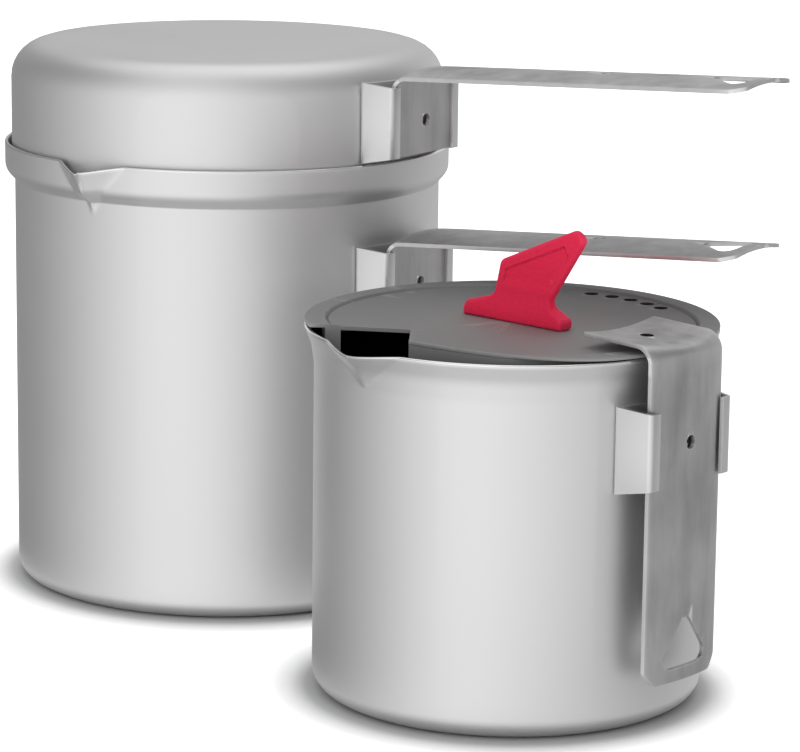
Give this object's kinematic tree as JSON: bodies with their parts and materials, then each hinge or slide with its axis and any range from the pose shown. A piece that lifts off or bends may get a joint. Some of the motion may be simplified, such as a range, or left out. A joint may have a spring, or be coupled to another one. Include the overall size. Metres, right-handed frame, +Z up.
{
  "type": "camping cooking pot set",
  "caption": "Nesting camping cook set: tall pot closed by a deep pan, smaller pot with strainer lid and silicone grip, and L-shaped strip handles that slide into riveted brackets.",
  "frame": {"origin": "centre of the large pot's base, on the ground", "axes": "+Z up; +X and -Y run towards the small pot, which stands in front and to the right; the large pot's handle points 35 degrees below +X in plan"},
  "size_m": [0.2008, 0.219, 0.1481],
  "materials": {
    "pot_aluminium": "bead-blasted matte, dark non-stick inside",
    "bracket_aluminium": "satin",
    "rivet_aluminium": "satin",
    "handle_steel": "tumbled matte",
    "spring_steel": "smooth",
    "lid_coating": "dark grey matte coating on aluminium",
    "red_silicone": "matte silicone with fine stipple"
  },
  "bodies": {
    "large_pot": {"large_pot_body": "pot_aluminium", "large_pot_bracket": "bracket_aluminium", "large_pot_rivet_spring": "rivet_aluminium", "large_pot_rivet_left": "rivet_aluminium", "large_pot_rivet_right": "rivet_aluminium"},
    "large_spring": {"large_pot_detent_spring": "spring_steel"},
    "large_handle": {"large_pot_handle": "handle_steel"},
    "pan": {"pan_body": "pot_aluminium", "pan_bracket": "bracket_aluminium", "pan_rivet_spring": "rivet_aluminium", "pan_rivet_left": "rivet_aluminium", "pan_rivet_right": "rivet_aluminium"},
    "pan_spring": {"pan_detent_spring": "spring_steel"},
    "pan_handle_strip": {"pan_handle": "handle_steel"},
    "small_pot": {"small_pot_body": "pot_aluminium", "small_pot_bracket": "bracket_aluminium", "small_pot_rivet_spring": "rivet_aluminium", "small_pot_rivet_left": "rivet_aluminium", "small_pot_rivet_right": "rivet_aluminium"},
    "small_spring": {"small_pot_detent_spring": "spring_steel"},
    "small_handle": {"small_pot_handle": "handle_steel"},
    "small_lid": {"small_lid_plate": "lid_coating", "small_lid_grip": "red_silicone"}
  },
  "joints": [
    {"name": "pan_lift", "type": "slide", "parent": "large_pot", "child": "pan", "axis": [0, 0, 1], "range_m": [0, 0.1]},
    {"name": "pan_handle_slide", "type": "slide", "parent": "pan", "child": "pan_handle_strip", "axis": [0, 0, 1], "range_m": [0, 0.04]},
    {"name": "large_handle_slide", "type": "slide", "parent": "large_pot", "child": "large_handle", "axis": [0, 0, 1], "range_m": [0, 0.015]},
    {"name": "small_pot_slide", "type": "slide", "parent": "large_pot", "child": "small_pot", "axis": [-0.5793, -0.8151, 0], "range_m": [0, 0.12]},
    {"name": "small_handle_slide", "type": "slide", "parent": "small_pot", "child": "small_handle", "axis": [0, 0, 1], "range_m": [0, 0.08]},
    {"name": "small_lid_lift", "type": "slide", "parent": "small_pot", "child": "small_lid", "axis": [0, 0, 1], "range_m": [0, 0.008]},
    {"name": "large_spring_rock", "type": "hinge", "parent": "large_pot", "child": "large_spring", "pos_m": [0.04777, -0.03395, 0.0796], "axis": [-0.5793, -0.8151, 0], "range_deg": [0, 4], "stiffness_Nm_per_rad": 0.5},
    {"name": "pan_spring_rock", "type": "hinge", "parent": "pan", "child": "pan_spring", "pos_m": [0.04862, -0.03404, 0.12225], "axis": [-0.5736, -0.8192, 0], "range_deg": [0, 4], "stiffness_Nm_per_rad": 0.5},
    {"name": "small_spring_rock", "type": "hinge", "parent": "small_pot", "child": "small_spring", "pos_m": [0.1107, -0.14223, 0.0619], "axis": [-0.6652, -0.7466, 0], "range_deg": [0, 4], "stiffness_Nm_per_rad": 0.5}
  ],
  "couplings": [
    {"joint": "small_lid_lift", "follows": "small_handle_slide", "ratio": 0.1}
  ]
}
